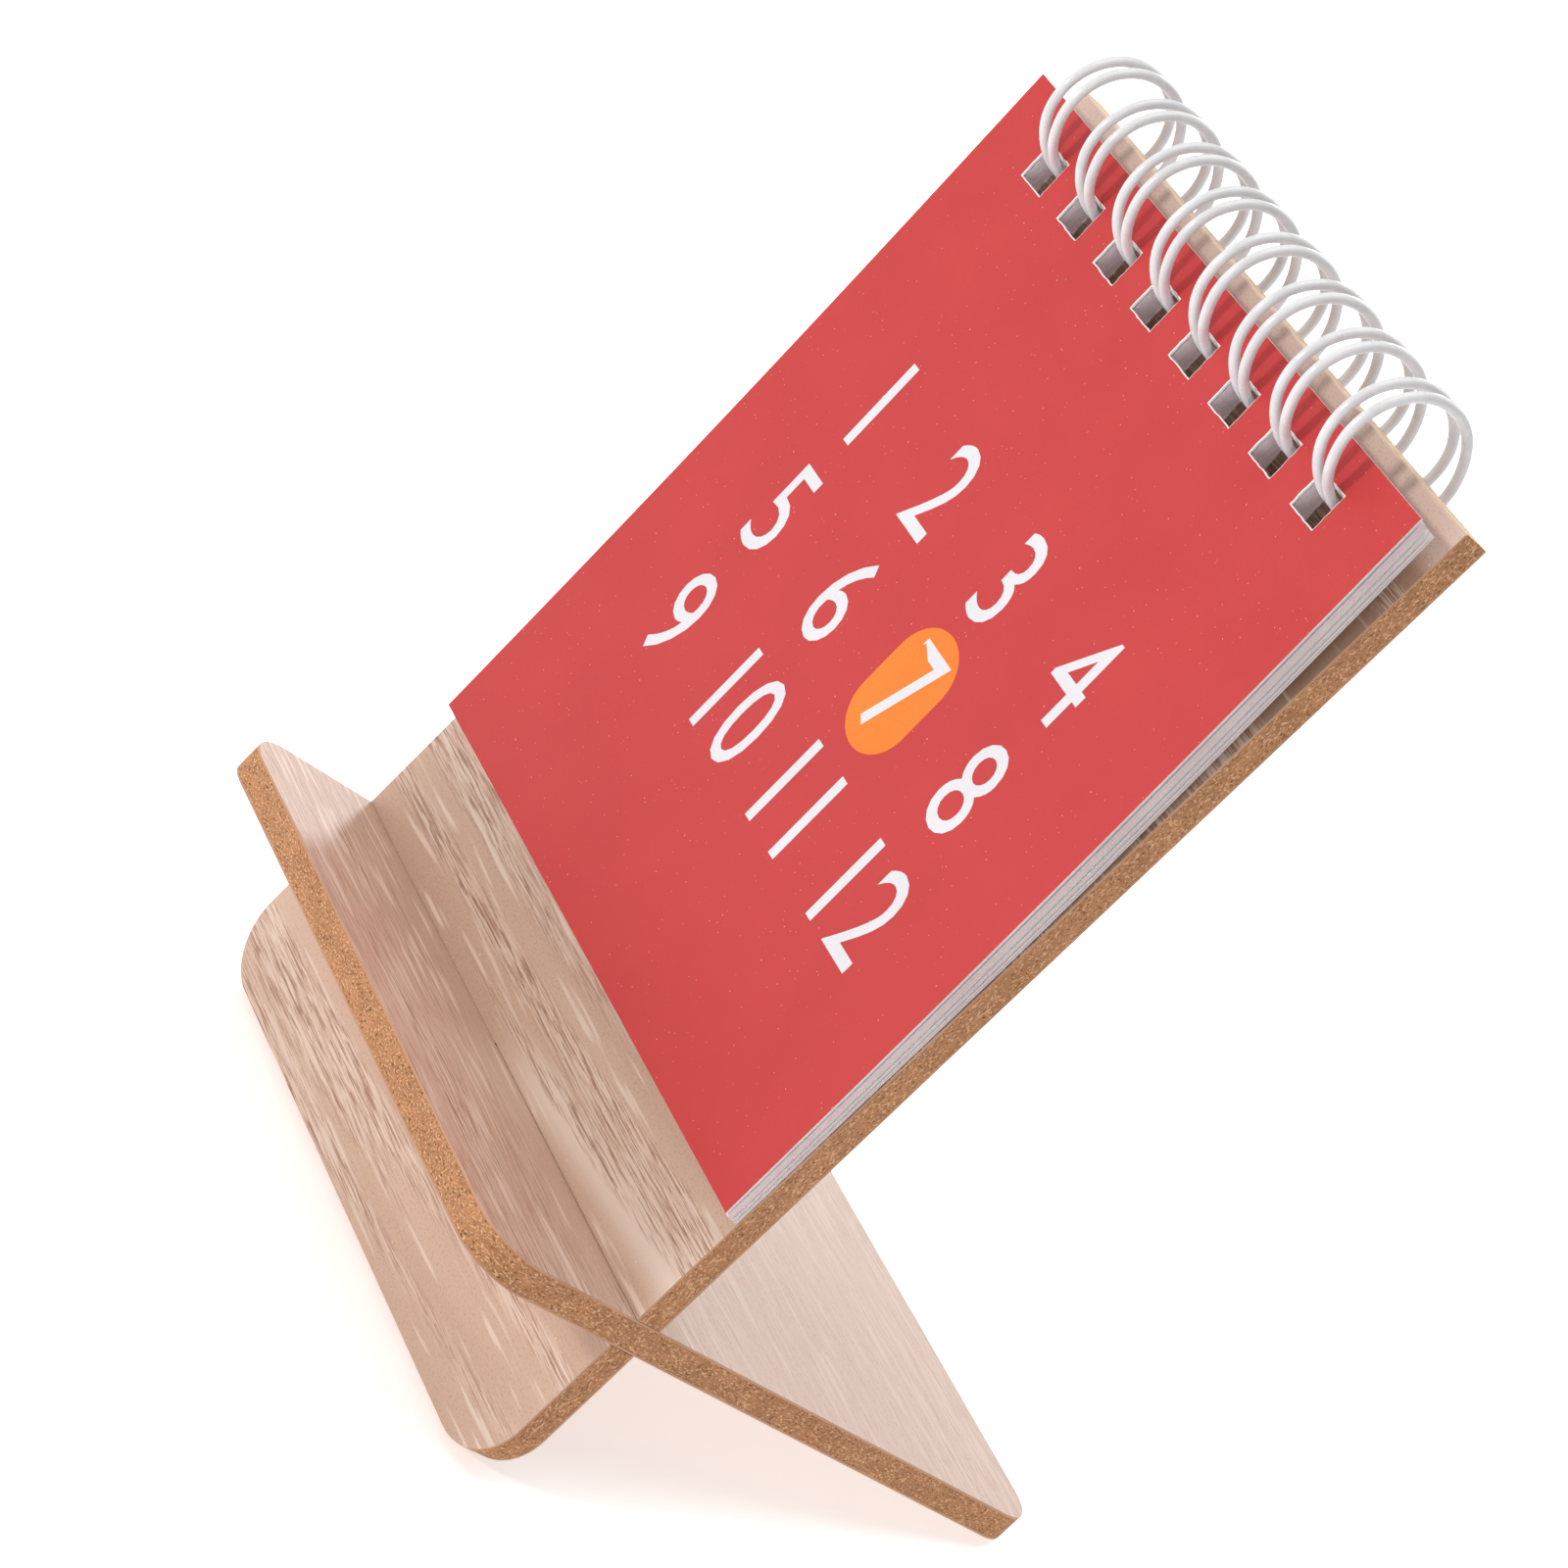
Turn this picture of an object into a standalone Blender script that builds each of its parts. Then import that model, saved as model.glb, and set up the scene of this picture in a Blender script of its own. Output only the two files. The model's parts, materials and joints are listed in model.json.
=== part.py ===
"""Standing desk calendar: two crossed boards, a pad of sheets and the twin-loop wire that binds it.

The stand frame has x to the right, y up along the back board and z out of its front face. Its
zero point is the mid-width of the corner where the board's front meets the cross board's top.
"""
import bpy
import math

# Boards
BOARD_WIDTH = 0.081
CORE_THICKNESS = 0.003
VENEER_THICKNESS = 0.00028
GLUE_LINE = 0.00002
BACK_HEIGHT = 0.1072            # back board above the cross board
FOOT_LENGTH = 0.0198            # back board below the cross board
LIP_LENGTH = 0.0195             # cross board in front of the back board
LEG_LENGTH = 0.0635             # cross board behind the back board
BACK_CORNER_RADIUS = 0.0075
CROSS_CORNER_RADIUS = 0.006
SLOT_CLEARANCE = 0.00015
CORNER_STEPS = 6

# Pad of sheets
SHEET_INSET = 0.00025           # back board's side to the sheet's side
PAPER_LENGTH = 0.0915
COVER_THICKNESS = 0.0003
LEAF_THICKNESS = 0.00012
LEAF_COUNT = 12
SHEET_GAP = 0.00002
PAD_REST_GAP = 0.0001           # last leaf's lower edge to the back board
PAD_BACK_OFFSET = 0.0008        # last leaf's back to the ring axis

# Punched holes, three to the inch
PUNCH_PITCH = 0.0254 / 3
PUNCH_SIZE = 0.0042
PUNCH_MARGIN = 0.0040           # sheet's top edge to its holes
PUNCH_END_MARGIN = 0.0085       # least distance from the first hole's centre to the sheet's side
BOARD_HOLE_MARGIN = 0.0036      # back board's top edge to its holes

# Binding wire
RING_BORE = 0.0127
WIRE_DIAMETER = 0.0011
WIRE_CLEARANCE = 0.0001         # wire to the back board
HANG_CLEARANCE = 0.0004         # wire to the upper edge of a sheet's hole
TIP_HALF_GAP = 0.00068          # half the gap between a loop's two wires at its tip
SPINE_HALF_GAP = 0.00175        # the same at the spine
SPREAD_POWER = 1.5              # how late along the loop the two wires spread
TIP_REACH = 0.0014              # loop's tip behind the back board
TIP_RISE = 0.0006               # loop's tip above the ring's lowest point
SPINE_DIP = 0.0016              # depth of the bends that join neighbouring loops
RING_STEPS = 18
BEND_STEPS = 4

# Worked out from the sizes above
BOARD_THICKNESS = CORE_THICKNESS + 2 * (GLUE_LINE + VENEER_THICKNESS)
HALF_WIDTH = BOARD_WIDTH / 2
PAPER_WIDTH = BOARD_WIDTH - 2 * SHEET_INSET
FOOT_Y = -BOARD_THICKNESS - FOOT_LENGTH
LEG_END = BOARD_THICKNESS + LEG_LENGTH
LEAN = math.atan2(FOOT_LENGTH, LEG_LENGTH)
LOOP_COUNT = int((PAPER_WIDTH - 2 * PUNCH_END_MARGIN) / PUNCH_PITCH) + 1
LOOP_X = [(k - (LOOP_COUNT - 1) / 2) * PUNCH_PITCH for k in range(LOOP_COUNT)]
WIRE_RADIUS = WIRE_DIAMETER / 2
RING_RADIUS = RING_BORE / 2 + WIRE_RADIUS
BOARD_HOLE_TOP = BACK_HEIGHT - BOARD_HOLE_MARGIN
BOARD_HOLE_LOW = BOARD_HOLE_TOP - PUNCH_SIZE
RING_LOW = BOARD_HOLE_LOW + WIRE_CLEARANCE + WIRE_RADIUS
AXIS_Y = RING_LOW + RING_RADIUS
REAR_WIRE_Z = -BOARD_THICKNESS - WIRE_CLEARANCE - WIRE_RADIUS
AXIS_Z = REAR_WIRE_Z + RING_RADIUS
PAD_THICKNESS = COVER_THICKNESS + LEAF_COUNT * (SHEET_GAP + LEAF_THICKNESS)


def clear_scene():
    for old in list(bpy.data.objects):
        bpy.data.objects.remove(old, do_unlink=True)


def material(name, colour, roughness, metallic=0.0):
    made = bpy.data.materials.new(name)
    made.use_nodes = True
    shader = made.node_tree.nodes["Principled BSDF"]
    shader.inputs["Base Color"].default_value = (*colour, 1.0)
    shader.inputs["Roughness"].default_value = roughness
    shader.inputs["Metallic"].default_value = metallic
    made.diffuse_color = (*colour, 1.0)
    return made


def add_object(name, data, parent, location, rotation, finish):
    made = bpy.data.objects.new(name, data)
    made.parent = parent
    made.location = location
    made.rotation_euler = rotation
    data.materials.append(finish)
    parts.objects.link(made)
    return made


def add_empty(name, parent, location, rotation):
    made = bpy.data.objects.new(name, None)
    made.parent = parent
    made.location = location
    made.rotation_euler = rotation
    parts.objects.link(made)
    return made


def arc(centre_x, centre_y, radius, start, end):
    """Points on an arc, with its ends given in degrees."""
    points = []
    for step in range(CORNER_STEPS + 1):
        angle = math.radians(start + (end - start) * step / CORNER_STEPS)
        points.append((centre_x + radius * math.cos(angle), centre_y + radius * math.sin(angle)))
    return points


def rectangle(centre_x, low_y, width, height):
    half = width / 2
    high_y = low_y + height
    return [(centre_x - half, low_y), (centre_x + half, low_y),
            (centre_x + half, high_y), (centre_x - half, high_y)]


def plate(name, outlines, thickness, parent, middle, finish):
    """A flat plate: the first outline is its edge, the others are holes."""
    curve = bpy.data.curves.new(name, "CURVE")
    curve.dimensions = "2D"
    curve.fill_mode = "BOTH"
    curve.extrude = thickness / 2
    for outline in outlines:
        spline = curve.splines.new("POLY")
        spline.points.add(len(outline) - 1)
        for point, (x, y) in zip(spline.points, outline):
            point.co = (x, y, 0.0, 1.0)
        spline.use_cyclic_u = True
    return add_object(name, curve, parent, (0.0, 0.0, middle), (0.0, 0.0, 0.0), finish)


def board(name, outlines, parent, front_name, rear_name, face_finish, core_finish):
    """Fibreboard core between two veneers. The front face lies in the parent's xy plane."""
    plate(f"{name}_{front_name}_veneer", outlines, VENEER_THICKNESS, parent, -VENEER_THICKNESS / 2, face_finish)
    plate(f"{name}_core", outlines, CORE_THICKNESS, parent, -BOARD_THICKNESS / 2, core_finish)
    rear_middle = -BOARD_THICKNESS + VENEER_THICKNESS / 2
    plate(f"{name}_{rear_name}_veneer", outlines, VENEER_THICKNESS, parent, rear_middle, face_finish)


def back_board_outlines():
    """Square at the top, round at the foot, slotted from its right edge to the middle."""
    radius = BACK_CORNER_RADIUS
    slot_low = -BOARD_THICKNESS - SLOT_CLEARANCE
    edge = [(-HALF_WIDTH, BACK_HEIGHT)]
    edge += arc(-HALF_WIDTH + radius, FOOT_Y + radius, radius, 180, 270)
    edge += arc(HALF_WIDTH - radius, FOOT_Y + radius, radius, 270, 360)
    edge += [(HALF_WIDTH, slot_low), (-SLOT_CLEARANCE, slot_low)]
    edge += [(-SLOT_CLEARANCE, SLOT_CLEARANCE), (HALF_WIDTH, SLOT_CLEARANCE)]
    edge += [(HALF_WIDTH, BACK_HEIGHT)]
    holes = [rectangle(x, BOARD_HOLE_LOW, PUNCH_SIZE, PUNCH_SIZE) for x in LOOP_X]
    return [edge] + holes


def cross_board_outline():
    """Round at all four corners, slotted from its left edge to the middle. Its y runs to the rear."""
    radius = CROSS_CORNER_RADIUS
    edge = arc(-HALF_WIDTH + radius, -LIP_LENGTH + radius, radius, 180, 270)
    edge += arc(HALF_WIDTH - radius, -LIP_LENGTH + radius, radius, 270, 360)
    edge += arc(HALF_WIDTH - radius, LEG_END - radius, radius, 0, 90)
    edge += arc(-HALF_WIDTH + radius, LEG_END - radius, radius, 90, 180)
    slot_rear = BOARD_THICKNESS + SLOT_CLEARANCE
    edge += [(-HALF_WIDTH, slot_rear), (SLOT_CLEARANCE, slot_rear)]
    edge += [(SLOT_CLEARANCE, -SLOT_CLEARANCE), (-HALF_WIDTH, -SLOT_CLEARANCE)]
    return [edge]


def hole_drop(front):
    """From the ring axis down to the upper edge of the holes of a sheet whose front is this far ahead of it."""
    return math.sqrt((RING_RADIUS - WIRE_RADIUS) ** 2 - front ** 2) - HANG_CLEARANCE


def pad_tilt():
    """Tilt of the sheets that hang on the wire and rest by their lower edge on the back board."""
    last_front = PAD_BACK_OFFSET + LEAF_THICKNESS
    drop = hole_drop(last_front) - PUNCH_MARGIN + PAPER_LENGTH
    reach = math.hypot(drop, PAD_BACK_OFFSET)
    return math.asin((AXIS_Z - PAD_REST_GAP) / reach) + math.atan2(PAD_BACK_OFFSET, drop)


def sheet(name, front, thickness, parent, finish):
    """A punched sheet that hangs by its holes on the ring. Front is its front face's place ahead of the axis."""
    hole_top = -hole_drop(front)
    low = hole_top + PUNCH_MARGIN - PAPER_LENGTH
    outlines = [rectangle(0.0, low, PAPER_WIDTH, PAPER_LENGTH)]
    outlines += [rectangle(x, hole_top - PUNCH_SIZE, PUNCH_SIZE, PUNCH_SIZE) for x in LOOP_X]
    return plate(name, outlines, thickness, parent, front - thickness / 2, finish)


def loop_side():
    """One side of a loop from its tip to the spine, as (y, z, half gap) in the stand frame."""
    path = [(RING_LOW + TIP_RISE, -BOARD_THICKNESS - TIP_REACH)]
    path += [(RING_LOW + TIP_RISE / 2, -BOARD_THICKNESS / 2)]
    for step in range(RING_STEPS + 1):
        angle = 1.5 * math.pi * step / RING_STEPS
        path.append((AXIS_Y - RING_RADIUS * math.cos(angle), AXIS_Z + RING_RADIUS * math.sin(angle)))
    path.append((BOARD_HOLE_TOP, REAR_WIRE_Z))
    run = [0.0]
    for (y0, z0), (y1, z1) in zip(path, path[1:]):
        run.append(run[-1] + math.hypot(y1 - y0, z1 - z0))
    spread = SPINE_HALF_GAP - TIP_HALF_GAP
    return [(y, z, TIP_HALF_GAP + spread * (done / run[-1]) ** SPREAD_POWER) for (y, z), done in zip(path, run)]


def wire_points():
    """The whole wire: down each loop's left side, round its tip, up its right side, along to the next."""
    side = loop_side()
    tip_y, tip_z, tip_gap = side[0]
    spine_y, spine_z, spine_gap = side[-1]
    points = []
    for k, x in enumerate(LOOP_X):
        points += [(x - gap, y, z) for y, z, gap in reversed(side)]
        for step in range(1, BEND_STEPS):
            angle = math.pi * step / BEND_STEPS
            points.append((x - tip_gap * math.cos(angle), tip_y, tip_z - tip_gap * math.sin(angle)))
        points += [(x + gap, y, z) for y, z, gap in side]
        if k == LOOP_COUNT - 1:
            break
        half_span = PUNCH_PITCH / 2 - spine_gap
        for step in range(1, BEND_STEPS):
            angle = math.pi * step / BEND_STEPS
            across = x + PUNCH_PITCH / 2 - half_span * math.cos(angle)
            points.append((across, spine_y - SPINE_DIP * math.sin(angle), spine_z))
    return points


def binding_wire(parent, finish):
    curve = bpy.data.curves.new("binding_wire", "CURVE")
    curve.dimensions = "3D"
    curve.bevel_depth = WIRE_RADIUS
    curve.bevel_resolution = 1
    curve.use_fill_caps = True
    points = wire_points()
    spline = curve.splines.new("POLY")
    spline.points.add(len(points) - 1)
    for point, place in zip(spline.points, points):
        point.co = (*place, 1.0)
    return add_object("binding_wire", curve, parent, (0.0, 0.0, 0.0), (0.0, 0.0, 0.0), finish)


def stand_place():
    """Puts the feet on z = 0 and the middle of the stand's depth on y = 0."""
    lip_y = -BOARD_THICKNESS * math.sin(LEAN) - LIP_LENGTH * math.cos(LEAN)
    leg_y = LEG_END * math.cos(LEAN)
    foot_z = FOOT_Y * math.cos(LEAN) - BOARD_THICKNESS * math.sin(LEAN)
    return (0.0, -(lip_y + leg_y) / 2, -foot_z)


clear_scene()
parts = bpy.data.collections.new("standing_desk_calendar")
bpy.context.scene.collection.children.link(parts)

veneer = material("veneer", (0.60, 0.43, 0.31), 0.5)
fibreboard = material("fibreboard", (0.48, 0.25, 0.10), 0.8)
red_card = material("red_card", (0.63, 0.08, 0.085), 0.6)
paper = material("paper", (0.75, 0.74, 0.72), 0.75)
white_nylon = material("white_nylon", (0.86, 0.86, 0.87), 0.3)

stand = add_empty("stand", None, stand_place(), (math.pi / 2 - LEAN, 0.0, 0.0))
board("back_board", back_board_outlines(), stand, "front", "rear", veneer, fibreboard)

cross_slide = add_empty("cross_slide", stand, (0.0, 0.0, 0.0), (-math.pi / 2, 0.0, 0.0))
board("cross_board", cross_board_outline(), cross_slide, "top", "under", veneer, fibreboard)

binding_wire(stand, white_nylon)

ring_axis = add_empty("ring_axis", stand, (0.0, AXIS_Y, AXIS_Z), (pad_tilt(), 0.0, 0.0))
cover_front = PAD_BACK_OFFSET + PAD_THICKNESS
sheet("cover", cover_front, COVER_THICKNESS, ring_axis, red_card)
for leaf in range(LEAF_COUNT):
    leaf_front = cover_front - COVER_THICKNESS - SHEET_GAP - leaf * (LEAF_THICKNESS + SHEET_GAP)
    sheet(f"month_leaf_{leaf + 1:02d}", leaf_front, LEAF_THICKNESS, ring_axis, paper)
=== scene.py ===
# %% [markdown]
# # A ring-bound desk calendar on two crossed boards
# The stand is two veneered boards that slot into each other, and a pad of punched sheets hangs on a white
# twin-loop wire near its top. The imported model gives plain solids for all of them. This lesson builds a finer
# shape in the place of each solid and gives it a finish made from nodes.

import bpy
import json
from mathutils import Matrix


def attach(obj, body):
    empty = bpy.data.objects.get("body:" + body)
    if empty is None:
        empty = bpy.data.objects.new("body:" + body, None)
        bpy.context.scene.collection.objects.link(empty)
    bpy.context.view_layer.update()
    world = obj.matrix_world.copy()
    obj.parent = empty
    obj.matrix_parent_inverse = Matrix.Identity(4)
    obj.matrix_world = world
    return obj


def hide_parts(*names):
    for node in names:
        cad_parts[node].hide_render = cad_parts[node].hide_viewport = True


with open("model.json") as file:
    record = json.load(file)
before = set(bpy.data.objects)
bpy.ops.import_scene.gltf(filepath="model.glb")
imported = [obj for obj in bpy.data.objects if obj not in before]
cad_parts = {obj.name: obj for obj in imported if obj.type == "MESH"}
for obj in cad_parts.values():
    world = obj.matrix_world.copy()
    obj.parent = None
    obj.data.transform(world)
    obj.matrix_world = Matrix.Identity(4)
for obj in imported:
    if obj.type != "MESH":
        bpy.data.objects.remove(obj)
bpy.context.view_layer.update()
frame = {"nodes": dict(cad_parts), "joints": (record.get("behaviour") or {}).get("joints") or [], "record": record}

# %% [markdown]
# ## The stand's own directions
# The back board leans, so nothing on it lies along the world's axes. Every piece is easier to draw flat and
# to place with one matrix at the end. The foot's direction in the record gives the lean. In the stand's
# directions x runs to the reader's right, y up along the back board and z out of its front face, and zero is
# the corner where that face meets the cross board. The pad has a matrix of its own about the ring's centre.

# %% Matrices for the boards and the pad
import json
import math
import random

import bmesh
import bpy
from mathutils import Matrix, Vector

MM = 0.001
feet = {mount["name"]: mount for mount in frame["record"]["mounts"]}
foot_down = Vector(feet["front_foot"]["axis"])
LEAN = math.atan2(-foot_down.y, -foot_down.z)
UPRIGHT = Matrix.Rotation(math.pi / 2 - LEAN, 4, "X")


def node_box(node, place):
    """Lowest and highest corner of a CAD node, in the directions of a matrix."""
    back = place.inverted()
    spots = [back @ vertex.co for vertex in frame["nodes"][node].data.vertices]
    low = Vector([min(spot[axis] for spot in spots) for axis in range(3)])
    high = Vector([max(spot[axis] for spot in spots) for axis in range(3)])
    return low, high


front_face = node_box("back_board_front_veneer", UPRIGHT)[1].z
ledge_face = node_box("cross_board_top_veneer", UPRIGHT)[1].y
STAND = Matrix.Translation(UPRIGHT @ Vector((0, ledge_face, front_face))) @ UPRIGHT
CROSS = STAND @ Matrix.Rotation(-math.pi / 2, 4, "X")

hinge = next(joint for joint in frame["joints"] if joint["name"] == "cover_turn")
card_face = max(frame["nodes"]["cover"].data.polygons, key=lambda face: face.area)
card_normal = UPRIGHT.to_3x3().inverted() @ card_face.normal
TILT = math.atan(-card_normal.y / card_normal.z)
PAD = Matrix.Translation(Vector(hinge["pos_m"])) @ UPRIGHT @ Matrix.Rotation(TILT, 4, "X")
print(f"the board leans {math.degrees(LEAN):.2f} degrees, the pad {math.degrees(TILT):.2f} more")

# %% [markdown]
# ## The camera
# The picture looks down on the calendar from its right, with the camera rolled so that the pad stands
# diagonally in the frame. A long lens keeps the boards' edges nearly parallel. The camera is built from a
# target, a distance and three angles, because these can be read and changed one by one.

# %% Camera
IMAGE_SIZE = 1600
FOCAL_PIXELS = 4502
SENSOR_MM = 36
NEAREST = 0.01
VIEW_TARGET = Vector((-0.00365, -0.00528, 0.05871))
VIEW_DISTANCE = 0.4443
VIEW_AZIMUTH = math.radians(50.22)
VIEW_ELEVATION = math.radians(23.79)
VIEW_ROLL = math.radians(-32.23)

to_camera = Vector((math.sin(VIEW_AZIMUTH) * math.cos(VIEW_ELEVATION),
                    -math.cos(VIEW_AZIMUTH) * math.cos(VIEW_ELEVATION),
                    math.sin(VIEW_ELEVATION)))
camera_data = bpy.data.cameras.new("camera")
camera_data.sensor_width = SENSOR_MM
camera_data.lens = FOCAL_PIXELS * SENSOR_MM / IMAGE_SIZE
camera_data.clip_start = NEAREST
camera = bpy.data.objects.new("camera", camera_data)
level = to_camera.to_track_quat("Z", "Y").to_matrix().to_4x4()
aim = level @ Matrix.Rotation(-VIEW_ROLL, 4, "Z")
camera.matrix_world = Matrix.Translation(VIEW_TARGET + VIEW_DISTANCE * to_camera) @ aim
bpy.context.scene.collection.objects.link(camera)
bpy.context.scene.camera = camera
bpy.context.scene.view_settings.view_transform = "Standard"
print("camera at", [round(v, 4) for v in camera.location], "lens", round(camera_data.lens, 2), "mm")

# %% [markdown]
# ## Building materials from nodes
# Each finish here is a Principled shader fed by procedural textures on Object coordinates, so a pattern keeps
# its size in millimetres and stays put when a piece moves. Short helpers make a node, a material and a node
# group. A value that is given as a socket becomes a link, and any other is typed into the socket.

# %% Node helpers
def feed(tree, node, values):
    """Gives each value to the node's input of that name or number."""
    for socket, value in values.items():
        if isinstance(value, bpy.types.NodeSocket):
            tree.links.new(value, node.inputs[socket])
        else:
            node.inputs[socket].default_value = value


def add_node(tree, kind, values=None, **settings):
    made = tree.nodes.new(kind)
    for name, setting in settings.items():
        setattr(made, name, setting)
    feed(tree, made, values or {})
    return made


def new_finish(name, roughness):
    """A material, its node tree, its shader and the Object coordinates to draw on."""
    finish = bpy.data.materials.new(name)
    finish.use_nodes = True
    tree = finish.node_tree
    shader = tree.nodes["Principled BSDF"]
    feed(tree, shader, {"Roughness": roughness})
    spot = add_node(tree, "ShaderNodeTexCoord").outputs["Object"]
    return finish, tree, shader, spot


def new_group(name, inputs):
    """A node group and the sockets inside it that hold its inputs. The first is the place to draw at."""
    group = bpy.data.node_groups.new(name, "ShaderNodeTree")
    group.interface.new_socket("Place", in_out="INPUT", socket_type="NodeSocketVector")
    for socket, start in inputs.items():
        made = group.interface.new_socket(socket, in_out="INPUT", socket_type="NodeSocketFloat")
        made.default_value = start
    return group, group.nodes.new("NodeGroupInput").outputs


def give_out(group, values):
    """Ends a group with an output for each value."""
    for socket in values:
        group.interface.new_socket(socket, in_out="OUTPUT", socket_type="NodeSocketFloat")
    feed(group, group.nodes.new("NodeGroupOutput"), values)
    return group


def use_group(tree, group, values):
    return add_node(tree, "ShaderNodeGroup", values, node_tree=group).outputs


print("node helpers are ready")

# %% [markdown]
# ## Patterns and mixing
# All finishes draw with the same few nodes: a noise that can be stretched, a soft step, some arithmetic and a
# mix of two colours. Each gets a helper with a plain name, so that a finish reads as a short recipe and not
# as a page of node types.

# %% Pattern helpers
COLOUR_A, COLOUR_B, COLOUR_OUT = 6, 7, 2  # a Mix node's colour sockets, which share their names with others


def stretched(tree, place, stretch):
    return add_node(tree, "ShaderNodeVectorMath", {0: place, 1: stretch}, operation="MULTIPLY").outputs[0]


def resized(tree, place, factor):
    return add_node(tree, "ShaderNodeVectorMath", {0: place, "Scale": factor}, operation="SCALE").outputs[0]


def shifted(tree, place, shift):
    return add_node(tree, "ShaderNodeVectorMath", {0: place, 1: shift}, operation="ADD").outputs[0]


def noise(tree, place, stretch, detail=2.0, roughness=0.5):
    """Soft noise with that many features to the metre along each axis."""
    made = add_node(tree, "ShaderNodeTexNoise", {"Vector": stretched(tree, place, stretch), "Scale": 1.0,
                                                 "Detail": detail, "Roughness": roughness})
    return made.outputs["Fac"]


def in_stand(tree, place):
    """Object coordinates in the stand's directions: x across, y up the back board, z out of its front."""
    return add_node(tree, "ShaderNodeVectorRotate", {"Vector": place, "Angle": LEAN - math.pi / 2},
                    rotation_type="X_AXIS").outputs[0]


def ramp(tree, value, start, end, low=0.0, high=1.0):
    """A smooth step from low to high while the value goes from start to end."""
    return add_node(tree, "ShaderNodeMapRange", {"Value": value, "From Min": start, "From Max": end,
                                                 "To Min": low, "To Max": high},
                    interpolation_type="SMOOTHSTEP").outputs["Result"]


def maths(tree, operation, first, second):
    return add_node(tree, "ShaderNodeMath", {0: first, 1: second}, operation=operation).outputs[0]


def times(tree, first, second):
    return maths(tree, "MULTIPLY", first, second)


def larger(tree, first, second):
    return maths(tree, "MAXIMUM", first, second)


def mix_colour(tree, share, first, second):
    """Goes from the first colour to the second as the share goes from 0 to 1."""
    first, second = ((*shade, 1.0) if isinstance(shade, tuple) else shade for shade in (first, second))
    return add_node(tree, "ShaderNodeMix", {"Factor": share, COLOUR_A: first, COLOUR_B: second},
                    data_type="RGBA").outputs[COLOUR_OUT]


def bump(tree, shader, height, distance):
    """Lets a height pattern, that many metres deep, turn the shader's normal."""
    made = add_node(tree, "ShaderNodeBump", {"Height": height, "Strength": 1.0, "Distance": distance})
    feed(tree, shader, {"Normal": made.outputs["Normal"]})


print("pattern helpers are ready")

# %% [markdown]
# ## Wood-look veneer
# The boards are faced with a thin pinkish-beige wood print, which is not the same all over. The leg and the
# margin above the pad are calmer than the rest, and the lip has more streaks. Light and shade are painted in
# as well: the leg is painted paler for the sheen it catches from behind, the margin above the pad is painted
# paler against the shade of the loops, the veneer behind the pad is painted browner for the shade in the gap,
# and a soft pale band that climbs from the slot to the right is a painted sheen. One material for each part
# would need cuts in the faces. Masks made of soft steps on the place do it in one material and leave no seams.

# %% Parts of the veneer
# Painted light: above this height the veneer is painted paler against the shade of the loops.
QUIET_FROM = ledge_face + 101.0 * MM
QUIET_OVER = 3.0 * MM
LEG_FROM = front_face - 6.0 * MM
LEG_OVER = 8.0 * MM
LIP_FROM = front_face + 1.0 * MM
LIP_OVER = 5.0 * MM
FRONT_SKIN = 1.0 * MM
# Painted shade: from the pad's lower edge up, the veneer behind the pad is painted browner.
COVERED_FROM = node_box("cover", UPRIGHT)[0].y
COVERED_OVER = 5.0 * MM
# Painted sheen: a soft pale band that climbs from the slot to the right.
SHEEN_BAND_RISE = 1.6 * MM
SHEEN_BAND_CLIMB = 0.085
SHEEN_BAND_HALF = 3.6 * MM
SHEEN_BAND_FROM = -4.0 * MM
SHEEN_BAND_OVER = 16.0 * MM


def veneer_parts(group, place):
    """Masks of the leg, the lip, all below the painted-light margin at the top, the painted shade behind the pad
    and the painted sheen band.
    """
    where = add_node(group, "ShaderNodeSeparateXYZ", {0: place})
    x, y, z = (where.outputs[axis] for axis in "XYZ")
    on_leg = ramp(group, z, LEG_FROM, LEG_FROM - LEG_OVER)
    on_lip = ramp(group, z, LIP_FROM, LIP_FROM + LIP_OVER)
    below_strip = ramp(group, y, QUIET_FROM, QUIET_FROM + QUIET_OVER, 1.0, 0.0)
    on_front = ramp(group, z, front_face - FRONT_SKIN, front_face - FRONT_SKIN / 2)
    above_low_edge = ramp(group, y, COVERED_FROM, COVERED_FROM + COVERED_OVER)
    painted_shade_behind_pad = times(group, times(group, above_low_edge, below_strip), on_front)
    middle = maths(group, "ADD", times(group, x, SHEEN_BAND_CLIMB), ledge_face + SHEEN_BAND_RISE)
    above = maths(group, "SUBTRACT", y, middle)
    aside = larger(group, above, times(group, above, -1.0))
    painted_sheen_band = times(group, ramp(group, aside, SHEEN_BAND_HALF, 0.0),
                      ramp(group, x, SHEEN_BAND_FROM, SHEEN_BAND_FROM + SHEEN_BAND_OVER))
    return on_leg, on_lip, below_strip, painted_shade_behind_pad, painted_sheen_band


print("the pad covers the veneer from", round((COVERED_FROM - ledge_face) / MM, 1), "mm above the slot")

# %% [markdown]
# ### Streaks
# Quiet bands take turns with bands of short pale and brown streaks that all run across the board, and longer
# pale lenses lie between them. A picture of wood could be laid on, but nodes need no file and each band can
# be moved where it belongs. Noise that is stretched a long way along x and left fine in y and z gives the
# grain on both boards. A coarse noise chooses the bands, and another pushes the lines a little up and down,
# because straight lines would look ruled.

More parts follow.
